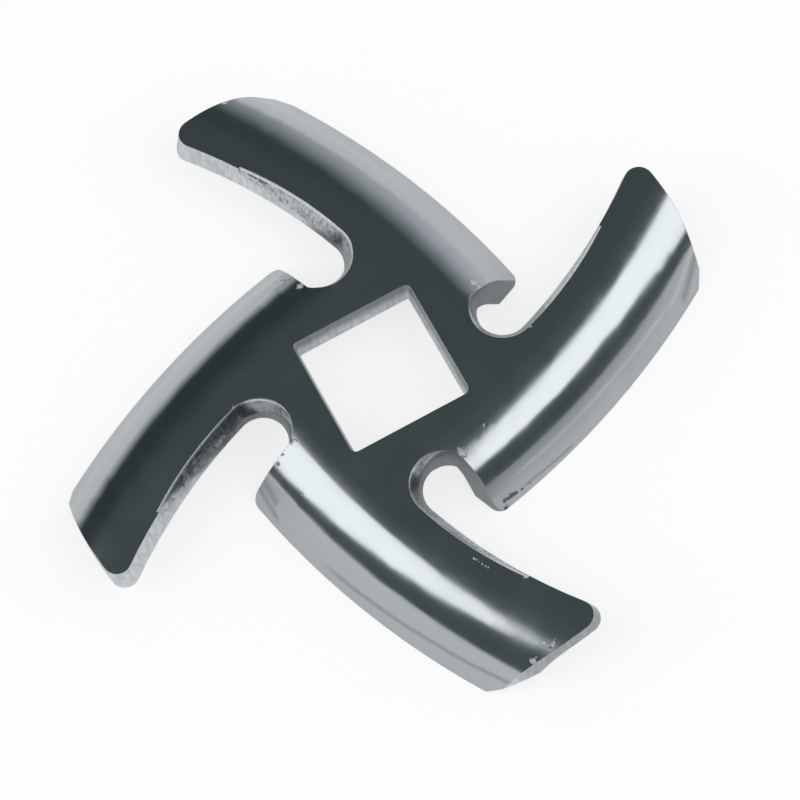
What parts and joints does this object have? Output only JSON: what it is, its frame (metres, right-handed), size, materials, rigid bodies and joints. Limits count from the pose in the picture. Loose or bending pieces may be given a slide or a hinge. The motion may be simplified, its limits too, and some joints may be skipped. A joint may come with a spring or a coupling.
{
  "type": "meat grinder knife",
  "caption": "Flat steel knife for a meat grinder: curved arms with bent-down, ground leading edges round a square drive hole.",
  "frame": {"origin": "on the turning axis, in the plane of the ground lands that run on the perforated plate", "axes": "+Z along the turning axis towards the flat face; +Y along one arm, +X along the next"},
  "size_m": [0.0492, 0.0492, 0.0048],
  "materials": {
    "steel": "satin-polished steel, with rough punched walls and ground lands under the lips"
  },
  "bodies": {
    "root": {"grinder_knife": "steel"}
  },
  "joints": []
}
